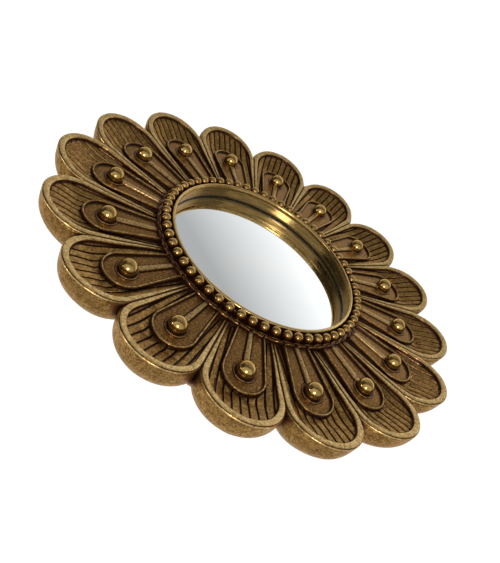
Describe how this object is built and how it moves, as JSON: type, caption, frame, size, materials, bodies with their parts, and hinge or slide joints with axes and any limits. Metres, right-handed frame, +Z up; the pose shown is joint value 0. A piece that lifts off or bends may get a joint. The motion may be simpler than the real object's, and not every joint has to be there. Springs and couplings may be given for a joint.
{
  "type": "round wall mirror",
  "caption": "Round wall mirror: a cast ring of dished, ribbed petals with ball studs, a beaded bezel round the glass, and a D-ring hanger on a black back board.",
  "frame": {"origin": "centre of the back board's rear face, where the mirror's axis meets it", "axes": "+Z up as the mirror hangs, +Y into the wall, the glass faces -Y, +X to the right seen from the front"},
  "size_m": [0.28, 0.0343, 0.28],
  "materials": {
    "antique_gold_resin": "satin",
    "polished_gold_balls": "gloss",
    "polished_gold_bezel": "gloss",
    "silvered_glass": "polished",
    "grey_foam": "matte",
    "black_hardboard": "matte",
    "zinc_screws": "satin",
    "zinc_strap": "satin",
    "zinc_ring": "gloss",
    "black_rubber": "matte"
  },
  "bodies": {
    "mirror": {"petal_frame": "antique_gold_resin", "ball_studs": "polished_gold_balls", "bead_bezel": "polished_gold_bezel", "mirror_glass": "silvered_glass", "glass_cushion": "grey_foam", "back_board": "black_hardboard", "board_screws": "zinc_screws", "hanger_strap": "zinc_strap", "hanger_screw": "zinc_screws", "wall_bumpers": "black_rubber"},
    "ring": {"hanger_ring": "zinc_ring"}
  },
  "joints": [
    {"name": "ring_hinge", "type": "hinge", "parent": "mirror", "child": "ring", "pos_m": [0, 0.0021, 0.088], "axis": [1, 0, 0], "range_deg": [0, 180]}
  ]
}
